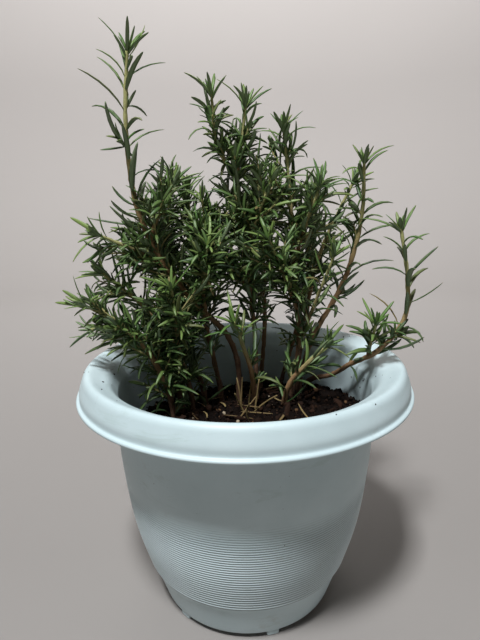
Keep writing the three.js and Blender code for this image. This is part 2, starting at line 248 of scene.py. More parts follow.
def rosemary_leaf():
    """A leathery needle: dark above with a paler midrib, grey-green felt below, fresher when young,
    pale at its foot, dry at its tip, and now and then olive or brown all over."""
    paint = Paint("rosemary_leaf", Roughness=0.4, IOR=1.45)
    across, along = paint.fact("across"), paint.fact("along")
    tint, age, under = paint.fact("tint"), paint.fact("age"), paint.fact("underside")
    cloud = paint.noise(160.0, 4.0, 0.6)
    pores = paint.noise(2600.0, 3.0, 0.7)
    own = paint.ramp(tint, (0.1, 0.0), (0.9, 1.0))
    dark = paint.mix(own, colour(34, 60, 32), colour(72, 98, 48))
    fresh = paint.mix(own, colour(80, 118, 54), colour(134, 156, 84))
    base = paint.mix(age, dark, fresh)
    base = paint.mix(paint.ramp(cloud, (0.45, 0.0), (0.7, 0.45)), base, colour(100, 118, 66))
    midrib = paint.ramp(across, (0.40, 0.0), (0.5, 1.0), (0.60, 0.0))
    base = paint.mix(midrib * 0.35, base, colour(132, 150, 92))
    base = paint.mix(paint.ramp(along, (0.0, 0.8), (0.12, 0.0)), base, colour(150, 158, 96))
    base = paint.mix(paint.ramp(along, (0.93, 0.0), (1.0, 0.55)), base, colour(120, 104, 58))
    base = paint.mix(paint.ramp(tint, (0.8, 0.0), (0.9, 0.6)), base, colour(92, 88, 54))
    base = paint.mix(paint.ramp(tint, (0.972, 0.0), (0.98, 0.8)), base, colour(122, 106, 66))
    felt = paint.mix(pores, colour(98, 118, 86), colour(142, 158, 122))
    base = paint.mix(paint.ramp(under, (0.25, 0.0), (0.7, 1.0)), base, felt)
    rough = 0.33 + 0.2 * pores + 0.3 * under
    return paint.feed(Base_Color=base, Roughness=rough, Normal=paint.bump(pores, 0.00012, 0.7))


def dry_straw():
    """Dead needles and bleached young stems: straw to grey-brown."""
    paint = Paint("dry_straw", Roughness=0.8)
    tint = paint.fact("tint")
    fibre = paint.noise(900.0, 4.0, 0.7)
    base = paint.mix(tint, colour(98, 76, 46), colour(172, 154, 100))
    base = paint.mix(fibre * 0.5, base, colour(92, 70, 44))
    return paint.feed(Base_Color=base, Roughness=0.65 + 0.25 * fibre, Normal=paint.bump(fibre, 0.0002))


def studio_paper():
    """Warm pale backdrop with the faintest unevenness."""
    paint = Paint("studio_paper", Roughness=0.9)
    cloud = paint.noise(1.6, 3.0)
    base = paint.mix(cloud, colour(144, 140, 137), colour(150, 146, 143))
    return paint.feed(Base_Color=base, Roughness=0.82 + 0.1 * cloud)


# ------------------------------------------------------------------------------- mesh helpers

def add_piece(name, points, faces, material, facts=None):
    """A mesh object from whole arrays; faces is a list of index arrays with 3 or 4 columns."""
    mesh = bpy.data.meshes.new(name)
    mesh.vertices.add(len(points))
    mesh.vertices.foreach_set("co", np.ascontiguousarray(points, np.float32).ravel())
    corners = np.concatenate([part.ravel() for part in faces])
    sizes = np.concatenate([np.full(len(part), part.shape[1]) for part in faces])
    mesh.loops.add(len(corners))
    mesh.loops.foreach_set("vertex_index", corners.astype(np.int32))
    mesh.polygons.add(len(sizes))
    mesh.polygons.foreach_set("loop_start", (np.cumsum(sizes) - sizes).astype(np.int32))
    mesh.update(calc_edges=True)
    mesh.validate()
    mesh.shade_smooth()
    for fact, values in (facts or {}).items():
        mesh.attributes.new(fact, "FLOAT", "POINT").data.foreach_set("value", values.astype(np.float32))
    mesh.materials.append(material)
    made = bpy.data.objects.new(name, mesh)
    bpy.context.scene.collection.objects.link(made)
    return made


def around(rows, sides):
    """Quads between rows of points that close on themselves after the last side."""
    side = np.arange(sides)
    after = (side + 1) % sides
    row = np.arange(rows - 1)[:, None] * sides
    quads = np.stack([row + side, row + after, row + sides + after, row + sides + side], -1)
    return quads.reshape(-1, 4)


def loft(rings):
    """Closed skins. rings has the shape (copies, rows, sides, 3): rows are joined by quads, and a
    fan on its mean point closes each end. Sides turn counter-clockwise about the way of travel."""
    copies, rows, sides, _ = rings.shape
    ends = rings[:, [0, -1]].mean(axis=2)
    points = np.concatenate([rings.reshape(copies, rows * sides, 3), ends], axis=1)
    side = np.arange(sides)
    after = (side + 1) % sides
    last = (rows - 1) * sides
    foot, tip = np.full(sides, rows * sides), np.full(sides, rows * sides + 1)
    fans = np.concatenate([np.stack([foot, after, side], -1),
                           np.stack([tip, last + side, last + after], -1)])
    start = (np.arange(copies) * points.shape[1])[:, None, None]
    quads = around(rows, sides)[None] + start
    return points.reshape(-1, 3), [quads.reshape(-1, 4), (fans[None] + start).reshape(-1, 3)]


def spread(values):
    """A fact given per ring point, shape (copies, rows, sides), with its end points' means added."""
    ends = values[:, [0, -1]].mean(axis=2)
    return np.concatenate([values.reshape(len(values), -1), ends], axis=1).ravel()


def joined(parts):
    """Several (points, faces, facts) as one."""
    points, faces, facts, start = [], [], {}, 0
    for own_points, own_faces, own_facts in parts:
        points.append(own_points)
        faces += [part + start for part in own_faces]
        for fact, values in own_facts.items():
            facts.setdefault(fact, []).append(values)
        start += len(own_points)
    facts = {fact: np.concatenate(values) for fact, values in facts.items()}
    return np.concatenate(points), faces, facts


def unit(vectors):
    """The vectors at length 1."""
    return vectors / np.maximum(np.linalg.norm(vectors, axis=-1, keepdims=True), 1e-12)


def merged(node):
    """A CAD node's corners with doubles joined, and its edges."""
    mesh = frame["nodes"][node].data
    corners = np.empty(len(mesh.vertices) * 3)
    mesh.vertices.foreach_get("co", corners)
    corners = corners.reshape(-1, 3)
    edges = np.empty(len(mesh.edges) * 2, int)
    mesh.edges.foreach_get("vertices", edges)
    places = np.round(corners / (0.02 * MM))
    _, first, same = np.unique(places, axis=0, return_index=True, return_inverse=True)
    return corners[first], same.reshape(-1)[edges].reshape(-1, 2)


def smooth_path(points, step):
    """Catmull-Rom through the points, then spaced evenly at about one step."""
    padded = np.vstack([2 * points[0] - points[1], points, 2 * points[-1] - points[-2]])
    share = np.linspace(0, 1, 25)[:-1, None]
    runs = []
    for a, b, c, d in zip(padded, padded[1:], padded[2:], padded[3:]):
        runs.append(0.5 * (2 * b + (c - a) * share + (2 * a - 5 * b + 4 * c - d) * share ** 2
                           + (3 * b - a - 3 * c + d) * share ** 3))
    fine = np.vstack([*runs, points[-1:]])
    travelled = np.concatenate([[0], np.cumsum(np.linalg.norm(np.diff(fine, axis=0), axis=1))])
    even = np.linspace(0, travelled[-1], max(4, round(travelled[-1] / step) + 1))
    return np.stack([np.interp(even, travelled, fine[:, axis]) for axis in range(3)], -1)


def lengths(path):
    """The distance walked along a path at each of its points."""
    return np.concatenate([[0], np.cumsum(np.linalg.norm(np.diff(path, axis=0), axis=1))])


def frames(path):
    """Unit vectors along, across and square to a path, turned as little as possible on the way."""
    ahead = unit(np.gradient(path, axis=0))
    across = np.empty_like(ahead)
    last = np.array([0.0, -1.0, 0.0])
    for i, way in enumerate(ahead):
        last = unit(last - way * (last @ way))
        across[i] = last
    return ahead, across, np.cross(ahead, across)


def waves(points, scale, count, random):
    """Smooth noise, about -1 to 1: the mean of sine waves with random directions and phases."""
    ways = unit(random.normal(size=(count, 3))) * random.uniform(0.6, 1.7, (count, 1)) / scale
    phases = random.uniform(0, 2 * math.pi, count)
    return np.sin(2 * math.pi * points @ ways.T + phases).sum(-1) / math.sqrt(count / 2)


def finish_piece(made, slot, *nodes):
    """The piece rides the plant's one body and stands for the nodes; the slot is not used."""
    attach(made, "root")
    if nodes:
        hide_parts(*nodes)
    return made


# -------------------------------------------------------------------------------- the planter

SIDES = 240
SECTOR = 40
RIB_PITCH = [1.66 * MM, 1.27 * MM]
RIB_DEPTH = 0.5 * MM
PLATE_RADIUS = 38 * MM


def wall_profile():
    """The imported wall's corners at azimuth 0, as (radius, height), walked from the outer foot edge
    up and over the rim to the inner floor."""
    points, edges = merged("pot")
    on_axis = (np.abs(points[:, 1]) < 0.05 * MM) & (points[:, 0] > PLATE_RADIUS)
    links = edges[on_axis[edges].all(axis=1)]
    walk = [min(np.flatnonzero(on_axis), key=lambda i: points[i, 2])]
    while True:
        ways = [b if a == walk[-1] else a for a, b in links if walk[-1] in (a, b)]
        ways = [way for way in ways if way not in walk]
        if not ways:
            return points[walk][:, [0, 2]]
        walk.append(ways[0])


WALL = wall_profile()
CREST = int(np.argmax(WALL[:, 1]))


def eased(profile, step):
    """A smooth line through the profile's corners."""
    flat = smooth_path(np.column_stack([profile, np.zeros(len(profile))]), step)
    return flat[:, :2]


def inner_radius(height):
    """The inner wall's radius at a height, rim included."""
    inside = WALL[CREST:][::-1]
    return np.interp(height, inside[:, 1], inside[:, 0])


def ribbed(line, low, high):
    """Beads on the outer wall: the radius is the wall's less RIB_DEPTH, plus an arch sin(pi s) over
    each bead's share s. The beads are closer together higher up, and fade out towards the top.
    Also gives the groove fact, the mask for painted shade and painted highlight: 1 in a groove, -1 on a
    crest and 0 on the plain wall."""
    levels = [low]
    while levels[-1] < high:
        levels.append(levels[-1] + np.interp(levels[-1], [26 * MM, 52 * MM], RIB_PITCH))
    shares = np.array([0.0, 0.1, 0.26, 0.5, 0.74, 0.9])
    levels = np.array(levels)
    heights = (levels[:-1, None] + np.diff(levels)[:, None] * shares).ravel()
    radius = np.interp(heights, line[:, 1], line[:, 0])
    arch = np.tile(np.sin(np.pi * shares), len(levels) - 1)
    bold = np.interp(heights, [low, low + 2 * MM, 58 * MM, high], [0.7, 1.0, 1.0, 0.0])
    profile = np.column_stack([radius - RIB_DEPTH * (1 - arch) * bold, heights])
    return profile, (1 - 2 * arch) * bold


def planter_line():
    """The outline from the underside plate over the rim to the inner floor, and how deep each of
    its points lies in a groove, which the plastic paint turns into painted shade in the grooves and a
    painted highlight on the crests: a rounded foot edge, a plain band, a small step out, the ribbed
    wall, the rolled rim with a thin lip round its lower edge, and the plain inner wall."""
    foot, band, step, lip, floor = WALL[0], WALL[1], WALL[2], WALL[CREST - 4], WALL[-1]
    edge = foot + np.array([[-1.4, 0], [-0.5, 0.05], [0.0, 0.4], [0.35, 1.3]]) * MM
    plain = edge[-1] + (band - edge[-1]) * np.linspace(0.12, 0.98, 9)[:, None]
    shoulder = np.array([band + [0.25 * MM, 0.1 * MM], step + [-0.35 * MM, -0.15 * MM]])
    wall = eased(WALL[2:9], 1.6 * MM)
    ribs, sunk = ribbed(wall, step[1] + 0.5 * MM, 72 * MM)
    smooth = wall[(wall[:, 1] > ribs[-1, 1] + 1 * MM) & (wall[:, 1] < 103 * MM)]
    under = eased(WALL[6:CREST - 5], 1.2 * MM)
    under = under[np.argmax(under[:, 1] > smooth[-1, 1] + 0.8 * MM):]
    bead = lip + np.array([[-0.55, -1.45], [-0.12, -1.15], [0, -0.6], [-0.16, -0.12], [-0.6, 0.12],
                           [-1.2, 0.28], [-1.5, 0.6]]) * MM
    face = np.array([bead[-1] + [-0.1 * MM, 0.5 * MM], WALL[CREST - 3] + [0.35 * MM, 0.8 * MM]])
    roll = eased(np.vstack([face, WALL[CREST - 2:CREST + 4]]), 0.9 * MM)
    inner = eased(WALL[CREST + 3:], 3 * MM)[1:-1]
    fillet = floor + np.array([[0.28, 1.0], [-0.1, 0.3], [-0.9, 0.0]]) * MM
    below = np.vstack([[[PLATE_RADIUS, foot[1]]], edge, plain, shoulder])
    above = np.vstack([smooth, under, bead, roll, inner, fillet, [[PLATE_RADIUS, floor[1]]]])
    sunk = np.concatenate([np.zeros(len(below)), sunk, np.zeros(len(above))])
    return np.vstack([below, ribs, above]), sunk


def turned(line, sides):
    """Rings of a line of (radius, height) points turned about the pot's axis."""
    angle = 2 * np.pi * np.arange(sides) / sides
    rings = np.empty((len(line), sides, 3))
    rings[..., 0] = line[:, :1] * np.cos(angle)
    rings[..., 1] = line[:, :1] * np.sin(angle)
    rings[..., 2] = line[:, 1:]
    return rings


def clusters(points, reach):
    """Points grouped by nearness, as a list of arrays."""
    groups = []
    for point in points:
        near = next((group for group in groups if np.linalg.norm(group[0] - point) < reach), None)
        if near is None:
            groups.append([point])
        else:
            near.append(point)
    return [np.array(group) for group in groups]


def base_plate():
    """The base with its drain holes: one sector round each hole, whose rings run from the sector's
    outline in to the hole's upper edge, down the hole and back out underneath."""
    points, _ = merged("pot")
    low, high = WALL[0, 1], WALL[-1, 1]
    radius = np.hypot(points[:, 0], points[:, 1])
    rims = points[(np.abs(points[:, 2] - low) < 0.05 * MM) & (radius > 8 * MM) & (radius < 36 * MM)]
    parts = []
    for rim in clusters(rims, 12 * MM):
        centre = rim[:, :2].mean(axis=0)
        hole = np.linalg.norm(rim[:, :2] - centre, axis=1).mean()
        middle = math.atan2(centre[1], centre[0])
        half = np.pi * SECTOR / SIDES
        spokes = np.linspace(0, PLATE_RADIUS, 9)
        arc = middle + np.linspace(-half, half, SECTOR + 1)
        reach = np.concatenate([spokes[:-1], np.full(SECTOR, PLATE_RADIUS), spokes[:0:-1]])
        angle = np.concatenate([np.full(8, arc[0]), arc[:-1], np.full(8, arc[-1])])
        outline = np.column_stack([reach * np.cos(angle), reach * np.sin(angle)])
        circle = centre + hole * unit(outline - centre)
        soft = centre + (hole + 0.35 * MM) * unit(outline - centre)
        rings = [(outline, high), (soft, high), (circle, high - 0.3 * MM), (circle, low + 0.3 * MM),
                 (soft, low), (outline, low)]
        levels = [np.column_stack([flat, np.full(len(flat), z)]) for flat, z in rings]
        parts.append((np.concatenate(levels), [around(len(rings), len(outline))], {}))
    return joined(parts)


def rounded_block(centre, sizes, turn, power, rows=9, sides=16):
    """A block with soft edges: an ellipsoid whose sines and cosines are raised to a power."""
    def bent(wave):
        return np.sign(wave) * np.abs(wave) ** power

    rise = np.linspace(-0.5, 0.5, rows + 2)[1:-1, None] * np.pi
    angle = 2 * np.pi * np.arange(sides) / sides
    x = bent(np.cos(rise)) * bent(np.cos(angle)) * sizes[0] / 2
    y = bent(np.cos(rise)) * bent(np.sin(angle)) * sizes[1] / 2
    z = bent(np.sin(rise)) * np.ones(sides) * sizes[2] / 2
    cos, sin = math.cos(turn), math.sin(turn)
    rings = np.stack([cos * x - sin * y, sin * x + cos * y, z], -1) + centre
    return (*loft(rings[None]), {})


def make_planter(material):
    """The outline turned about the axis, the base with its holes, and six soft-edged feet. The
    base's edge points fall on the wall's, and are merged with them."""
    line, sunk = planter_line()
    rings = turned(line, SIDES)
    parts = [(rings.reshape(-1, 3), [around(len(line), SIDES)], {"groove": np.repeat(sunk, SIDES)})]
    parts.append(base_plate())
    points, _ = merged("pot")
    soles = points[points[:, 2] < 0.05 * MM]
    for sole in clusters(soles, 8 * MM):
        x, y = sole[:, :2].mean(axis=0)
        turn = math.atan2(y, x)
        centre = (x, y, 1.9 * MM)
        parts.append(rounded_block(centre, (3.6 * MM, 6 * MM, 3.8 * MM), turn, 0.3))
    points, faces, facts = joined(parts)
    groove = np.zeros(len(points))
    groove[:len(facts["groove"])] = facts["groove"]
    planter = add_piece("planter", points, faces, material, {"groove": groove})
    shell = bmesh.new()
    shell.from_mesh(planter.data)
    bmesh.ops.remove_doubles(shell, verts=shell.verts, dist=0.002 * MM)
    shell.to_mesh(planter.data)
    shell.free()
    return finish_piece(planter, "pot_plastic", "pot")


# ------------------------------------------------------------------------------ potting mix

def top_plane():
    """The least-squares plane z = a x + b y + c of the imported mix's top, and its edge radius."""
    points, _ = merged("soil")
    top = points[points[:, 2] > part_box("soil")[1].z - 17 * MM]
    columns = np.column_stack([top[:, 0], top[:, 1], np.ones(len(top))])
    return np.linalg.lstsq(columns, top[:, 2], rcond=None)[0], np.hypot(top[:, 0], top[:, 1]).max()


PLANE, MIX_RADIUS = top_plane()


def mix_height(x, y):
    """The mix's top: its plane, plus waves of 24 and 9 mm, plus the absolute values of waves of 5
    and 2.3 mm, which make clods with sharp clefts, less a slight sink at the wall."""
    flat = np.stack([x, y, np.zeros_like(x)], -1)
    random = np.random.default_rng(SEED)
    swell = 0.9 * waves(flat, 24 * MM, 24, random) + 0.6 * waves(flat, 9 * MM, 32, random)
    clods = (1.1 * np.abs(waves(flat, 5 * MM, 36, random))
             + 0.6 * np.abs(waves(flat, 2.3 * MM, 40, random)))
    edge = np.clip((np.hypot(x, y) - MIX_RADIUS + 5 * MM) / (5 * MM), 0, 1) ** 2
    return PLANE[0] * x + PLANE[1] * y + PLANE[2] + (swell + clods - 0.8 - 0.8 * edge) * MM


def make_mix(material):
    """One closed surface of revolution, under the mix, up the pot's wall and in over its top, whose
    top rings then take their heights from mix_height."""
    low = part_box("soil")[0].z
    heights = np.linspace(low, 82 * MM, 14)
    wall = np.column_stack([inner_radius(heights) - 0.45 * MM, heights])
    bottom = np.array([[2 * MM, low], [20 * MM, low], [wall[0, 0] - 0.5 * MM, low]])
    side_rings = turned(np.vstack([bottom, wall]), SIDES)
    shares = np.concatenate([np.linspace(1, 0.93, 12), np.linspace(0.93, 0.008, 118)[1:]])
    top_rings = turned(np.column_stack([shares * MIX_RADIUS, shares * 0]), SIDES)
    top_rings[..., 2] = mix_height(top_rings[..., 0], top_rings[..., 1])
    points, faces = loft(np.concatenate([side_rings, top_rings])[None])
    return finish_piece(add_piece("potting_mix", points, faces, material), "potting_mix", "soil")


def random_turns(count, random):
    """Random rotation matrices, from unit quaternions."""
    w, x, y, z = unit(random.normal(size=(count, 4))).T
    rows = np.array([[1 - 2 * (y * y + z * z), 2 * (x * y - z * w), 2 * (x * z + y * w)],
                     [2 * (x * y + z * w), 1 - 2 * (x * x + z * z), 2 * (y * z - x * w)],
                     [2 * (x * z - y * w), 2 * (y * z + x * w), 1 - 2 * (x * x + y * y)]])
    return rows.transpose(2, 0, 1)


def crumbs(centres, sizes, flatness, random, rows=3, sides=5):
    """Small lumps: a few-sided ball for each centre, its corners pushed in or out by up to a
    quarter, flattened, turned at random."""
    rise = np.linspace(-0.5, 0.5, rows + 2)[1:-1, None] * np.pi
    angle = 2 * np.pi * np.arange(sides) / sides + np.arange(rows)[:, None] * 0.6
    ball = np.stack([np.cos(rise) * np.cos(angle), np.cos(rise) * np.sin(angle),
                     np.sin(rise) * np.ones(sides)], -1)
    lumps = ball[None] * random.uniform(0.72, 1.25, (len(centres), rows, sides, 1))
    squash = np.stack([np.ones(len(centres)), random.uniform(0.55, 1, len(centres)), flatness], -1)
    lumps = lumps * squash[:, None, None]
    lumps = np.einsum("nij,nrsj->nrsi", random_turns(len(centres), random), lumps)
    return loft(lumps * sizes[:, None, None, None] + centres[:, None, None, :])


def scatter(count, reach, random):
    """Points spread evenly over a disc on the mix."""
    radius = reach * np.sqrt(random.uniform(0, 1, count))
    angle = random.uniform(0, 2 * np.pi, count)
    x, y = radius * np.cos(angle), radius * np.sin(angle)
    return np.column_stack([x, y, mix_height(x, y)])


def make_crumbs(material):
    """Fine crumbs all over the mix, most under a millimetre."""
    random = np.random.default_rng(SEED + 1)
    count = 2600
    sizes = np.clip(random.lognormal(-0.5, 0.45, count), 0.3, 1.9) * MM
    centres = scatter(count, MIX_RADIUS - 2 * MM, random)
    centres[:, 2] += 0.35 * sizes
    flatness = random.uniform(0.35, 1.0, count)
    points, faces = crumbs(centres, sizes, flatness, random)
    tint = np.repeat(random.uniform(0, 1, count) ** 1.4, len(points) // count)
    return finish_piece(add_piece("mix_crumbs", points, faces, material, {"tint": tint}), "potting_mix")


def make_chips(material):
    """Bark chips: flat lumps, 0.9 times longer again along a nearly level direction."""
    random = np.random.default_rng(SEED + 2)
    count = 150
    centres = scatter(count, MIX_RADIUS - 5 * MM, random)
    sizes = random.uniform(1.1, 3.0, count) * MM
    centres[:, 2] += 0.25 * sizes
    flatness = random.uniform(0.3, 0.5, count)
    points, faces = crumbs(np.zeros((count, 3)), np.ones(count), flatness, random, 4, 7)
    lumps = points.reshape(count, -1, 3)
    turn, tilt = random.uniform(0, 2 * np.pi, count), random.normal(0, 0.35, count)
    long_way = np.column_stack([np.cos(turn), np.sin(turn), np.sin(tilt)])
    stretch = np.einsum("ni,nvi->nv", unit(long_way), lumps)
    lumps = lumps + 0.9 * stretch[..., None] * unit(long_way)[:, None]
    lumps = lumps * sizes[:, None, None] + centres[:, None]
    tint = np.repeat(random.uniform(0.3, 0.92, count), lumps.shape[1])
    made = add_piece("bark_chips", lumps.reshape(-1, 3), faces, material, {"tint": tint})
    return finish_piece(made, "potting_mix")


def make_rim_dust(material):
    """Specks of mix left on the rolled rim and just inside it."""
    random = np.random.default_rng(SEED + 3)
    count = 90
    line = eased(WALL[CREST - 2:CREST + 5], 0.2 * MM)
    where = line[np.clip(random.beta(2.2, 1.6, count) * len(line), 0, len(line) - 1).astype(int)]
    angle = np.concatenate([random.normal(0.75, 0.35, 38), random.uniform(0, 2 * np.pi, count - 38)])
    centres = np.column_stack([where[:, 0] * np.cos(angle), where[:, 0] * np.sin(angle), where[:, 1]])
    sizes = np.clip(random.lognormal(-1.35, 0.4, count), 0.12, 0.6) * MM
    points, faces = crumbs(centres, sizes, random.uniform(0.5, 1, count), random)
    tint = np.repeat(random.uniform(0, 0.7, count), len(points) // count)
    return finish_piece(add_piece("rim_dust", points, faces, material, {"tint": tint}), "potting_mix")


# ---------------------------------------------------------------------------------------- stems

def spread_from(points, edges, seeds):
    """Distance from the seed corners along the mesh edges, by repeated relaxing of every edge."""
    weights = np.linalg.norm(points[edges[:, 0]] - points[edges[:, 1]], axis=1)
    reached = np.full(len(points), 1e9)
    reached[seeds] = 0.0
    for _ in range(80):
        ahead = reached[edges[:, 0]] + weights
        back = reached[edges[:, 1]] + weights
        before = reached.copy()
        np.minimum.at(reached, edges[:, 1], ahead)
        np.minimum.at(reached, edges[:, 0], back)
        if np.allclose(before, reached):
            break
    return reached


def centreline(node, parent=None):
    """A packed stem's centre points from foot to tip: its corners, sorted by their distance from the
    foot along the surface, fall into rings, and each ring's mean is a centre. A twig's line starts
    at the nearest point of its parent's."""
    points, edges = merged(node)
    edges = edges[edges[:, 0] != edges[:, 1]]
    if parent is None:
        seeds = np.flatnonzero(points[:, 2] < points[:, 2].min() + 0.6 * MM)
    else:
        gaps = np.linalg.norm(points[:, None] - parent[None], axis=2).min(axis=1)
        seeds = np.flatnonzero(gaps < gaps.min() + 0.7 * MM)
    reached = spread_from(points, edges, seeds)
    order = np.argsort(reached)
    order = order[reached[order] < 1e8]
    breaks = np.flatnonzero(np.diff(reached[order]) > 2.2 * MM) + 1
    rings = [points[ring] for ring in np.split(order, breaks)]
    centres = np.array([ring.mean(axis=0) for ring in rings])
    if parent is not None:
        nearest = parent[np.argmin(np.linalg.norm(parent - centres[0], axis=1))]
        centres = np.vstack([nearest, centres[np.linalg.norm(centres - nearest, axis=1) > 2.5 * MM]])
    return centres


STEM_NODES = [name[:-len("_leaves")] for name in frame["nodes"] if name.endswith("_leaves")]
MAIN_STEMS = [name for name in STEM_NODES if "_twig_" not in name]
TWIG_STEMS = [name for name in STEM_NODES if "_twig_" in name]


FOOT_RADII = (0.75, 1.0)        # mm, of a main stem
TWIG_FOOT_RADIUS = 0.5 * MM
TIP_RADIUS = 0.62 * MM
TWIG_TIP_RADIUS = 0.5 * MM
LEAFY_FROM = 4 * MM             # the lowest needles of a main stem, above its foot
TWIG_LEAFY_FROM = 1.5 * MM
LEFT_SIDE = -17 * MM            # stems that start further left than this are leafy from low down
LEFT_LEAFY_FROM = 9 * MM
TWIG_AGE = 0.52                 # a twig's bark starts as young as its parent's at this share


class Stem:
    """A stem's own line, where its leafy part starts, and the seed of its growth. The radius falls
    from foot to tip as foot radius times (1 - share) to the power 0.7, plus the tip radius."""

    def __init__(self, node, index, parent=None):
        self.node = node
        self.parent = parent
        self.random = np.random.default_rng(SEED + 100 + index)
        centres = centreline(node, None if parent is None else parent.path)
        leaf_points, _ = merged(node + "_leaves")
        tip_way = unit(centres[-1] - centres[-2])
        reach = max(((leaf_points - centres[-1]) @ tip_way).max(), 0)
        tip = centres[-1] + tip_way * min(0.35 * reach, 6 * MM)
        self.path = smooth_path(np.vstack([centres, tip]), 1.8 * MM)
        along = lengths(self.path)
        self.total = along[-1]
        foot_radius = self.random.uniform(*FOOT_RADII) * MM if parent is None else TWIG_FOOT_RADIUS
        tip_radius = TIP_RADIUS if parent is None else TWIG_TIP_RADIUS
        share = along / self.total
        self.radius = foot_radius * (1 - share) ** 0.7 + tip_radius
        near = np.linalg.norm(leaf_points[:, None] - self.path[None], axis=2)
        first = along[np.unique(near.argmin(axis=1))].min()
        self.leafy = max(first - 4 * MM, LEAFY_FROM if parent is None else TWIG_LEAFY_FROM)
        if parent is None and self.path[0, 0] < LEFT_SIDE and node != "left_leader":
            self.leafy = LEFT_LEAFY_FROM
        self.ahead, self.across, self.side = frames(self.path)
        self.along = along

    def at(self, length, values):
        """The value at a length along the stem, of values given per path point."""
        return np.stack([np.interp(length, self.along, values[:, axis]) for axis in range(3)], -1)


def bark_tube(path, radius, shares, random, sides):
    """A closed tube along a path: the ring radius is the stem's times 1 + lumps from waves, and a
    last smaller ring rounds off the tip."""
    ahead, across, side = frames(path)
    angle = 2 * np.pi * np.arange(sides) / sides
    around_way = across[:, None] * np.cos(angle)[:, None] + side[:, None] * np.sin(angle)[:, None]
    start = path[:, None] + radius[:, None, None] * around_way
    lumps = 1 + 0.08 * waves(start, 7 * MM, 20, random) + 0.06 * waves(start, 2.0 * MM, 24, random)
    along = lengths(path)
    rings = path[:, None] + radius[:, None, None] * lumps[..., None] * around_way
    tip = path[-1] + ahead[-1] * radius[-1] * 0.6
    rings = np.concatenate([rings, tip + (rings[-1:] - path[-1]) * 0.55])
    shares = np.append(shares, shares[-1])
    along = np.append(along, along[-1])
    facts = {"share": spread(np.repeat(shares[:, None], sides, 1)[None]),
             "length": spread(np.repeat(along[:, None], sides, 1)[None]),
             "turn": spread(np.tile(np.sin(angle / 2), (len(rings), 1))[None])}
    return (*loft(rings[None]), facts)


def stem_tube(stem):
    """A stem's bark: a tube along its line, a tenth thicker where it is leafy. A main stem's tube
    goes 9 mm further down, into the mix."""
    share = stem.along / stem.total
    radius = stem.radius * (1 + 0.1 * (stem.along > stem.leafy))
    if stem.parent is None:
        path = np.vstack([stem.path[0] - [0, 0, 9 * MM], stem.path[0] - [0, 0, 4 * MM], stem.path])
        radius = np.concatenate([radius[:1], radius[:1], radius])
        share = np.concatenate([[0, 0], share])
        return bark_tube(path, radius, share, stem.random, 10)
    return bark_tube(stem.path, radius, TWIG_AGE + (1 - TWIG_AGE) * share, stem.random, 8)


# --------------------------------------------------------------------------------------- leaves

# A needle's cross-sections: where they stand along it and how broad they are, as shares of its
# length and width. Each has six corners: rolled-down edges, two shoulders, a sunk midrib between
# them and a hollow underside.
ROWS = np.array([0.0, 0.06, 0.2, 0.42, 0.64, 0.84, 0.95, 1.0])
BREADTH = np.array([0.34, 0.52, 0.88, 1.0, 0.97, 0.76, 0.42, 0.16])
SECTION_ACROSS = np.array([-1.0, -0.58, 0.0, 0.58, 1.0, 0.0])
SECTION_RISE = np.array([-0.34, 0.24, 0.08, 0.24, -0.34, -0.2])
UNDERSIDE = np.array([0.35, 0.0, 0.0, 0.0, 0.35, 1.0])
SPINE_STEPS = 24

# Growth, in mm. Ranges are shortest, usual and longest, or shortest and longest.
NEEDLE_LENGTHS = (9, 21, 28)
TWIG_NEEDLE_LENGTHS = (12, 22)
SHOOT_NEEDLE_LENGTHS = (7, 15, 21)
NEEDLE_WIDTHS = (1.7, 2.6)
SHOOT_NEEDLE_WIDTHS = (1.3, 2.1)
PAIR_GAP = 4.4                  # between pairs of needles where the plant is bushy
THIN_GAP = 2.2                  # added where it is thin
YOUNG_GAP = 3.2                 # taken off at the tip
SHOOT_GAP = 3.7                 # between pairs on a side shoot
SHOOT_RADII = (0.5, 0.34)
YOUNG_REACH = 24                # a stem's last stretch, where needles get shorter and fresher
PLAIN_TIP = 9                   # its very last stretch, which bears no side shoots
SHOOT_ODDS = (0.1, 0.6)         # in any axil, and on top of it where the plant is bushy
TUFT = 9                        # needles in the tuft at each tip
GOLDEN_TURN = 2.4               # radians from one needle of the tuft to the next

# Where needles keep off the pot: inside its mouth below UNDER_RIM, off RIM_BAND below OVER_RIM.
UNDER_RIM = 121.5 * MM
OVER_RIM = 125.5 * MM
RIM_BAND = (64 * MM, 84 * MM)
MIX_REACH = 60 * MM


